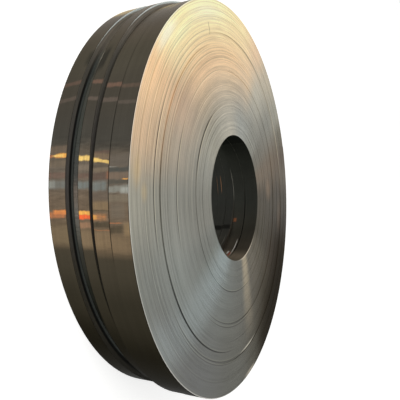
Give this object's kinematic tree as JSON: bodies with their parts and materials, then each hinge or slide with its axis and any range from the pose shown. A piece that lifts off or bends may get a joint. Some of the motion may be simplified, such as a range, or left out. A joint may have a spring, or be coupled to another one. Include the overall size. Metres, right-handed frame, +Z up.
{
  "type": "steel coil",
  "caption": "Cold-rolled steel coil slit into narrow strips that stay together, lying on its side face with its round bore upright",
  "frame": {"origin": "on the floor, under the middle of the set's outline", "axes": "+Z up along the coil's axis, towards the open face of the top strip; +Y towards the side to which the lower strips lie off the top one's centre"},
  "size_m": [1.5238, 1.5408, 0.275],
  "materials": {
    "bright_strip_steel": "bright cold-rolled strip: matte slit edges on the faces, dark glossy skin on the rim"
  },
  "bodies": {
    "root": {"top_strip": "bright_strip_steel", "second_strip": "bright_strip_steel", "third_strip": "bright_strip_steel", "fourth_strip": "bright_strip_steel", "bottom_strip": "bright_strip_steel"}
  },
  "joints": []
}
